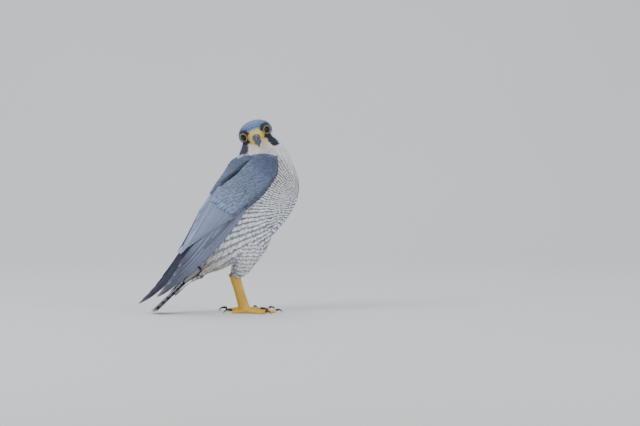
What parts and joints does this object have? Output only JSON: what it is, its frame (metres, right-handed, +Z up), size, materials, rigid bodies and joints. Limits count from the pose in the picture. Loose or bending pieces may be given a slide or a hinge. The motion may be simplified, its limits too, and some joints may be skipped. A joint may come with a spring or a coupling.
{
  "type": "peregrine falcon",
  "caption": "Life-size still model of an adult peregrine falcon standing at rest, wings folded, head turned over its right shoulder.",
  "frame": {"origin": "on the floor, under the centre of the bird's bounding box", "axes": "+X the way the body faces, +Y to the bird's left, +Z up"},
  "size_m": [0.2531, 0.1096, 0.2992],
  "materials": {
    "barred_feather": "matte feather",
    "slate_feather": "matte feather",
    "flight_feather": "matte feather",
    "hood_feather": "matte feather",
    "yellow_skin": "waxy scaled skin",
    "bill_horn": "smooth horn",
    "claw_horn": "smooth horn",
    "eye_cornea": "wet gloss"
  },
  "bodies": {
    "root": {"torso": "barred_feather", "neck": "barred_feather", "cere": "yellow_skin", "bill_upper": "bill_horn", "bill_lower": "bill_horn", "eye_left": "eye_cornea", "eye_right": "eye_cornea", "head": "hood_feather", "wing_arm_left": "slate_feather", "scapulars_left": "slate_feather", "secondaries_left": "slate_feather", "primaries_left": "flight_feather", "thigh_left": "barred_feather", "tarsus_left": "yellow_skin", "toe_middle_left": "yellow_skin", "claw_middle_left": "claw_horn", "toe_inner_left": "yellow_skin", "claw_inner_left": "claw_horn", "toe_outer_left": "yellow_skin", "claw_outer_left": "claw_horn", "toe_hind_left": "yellow_skin", "claw_hind_left": "claw_horn", "wing_arm_right": "slate_feather", "scapulars_right": "slate_feather", "secondaries_right": "slate_feather", "primaries_right": "flight_feather", "thigh_right": "barred_feather", "tarsus_right": "yellow_skin", "toe_middle_right": "yellow_skin", "claw_middle_right": "claw_horn", "toe_inner_right": "yellow_skin", "claw_inner_right": "claw_horn", "toe_outer_right": "yellow_skin", "claw_outer_right": "claw_horn", "toe_hind_right": "yellow_skin", "claw_hind_right": "claw_horn", "tail": "flight_feather", "undertail_coverts": "barred_feather"}
  },
  "joints": []
}
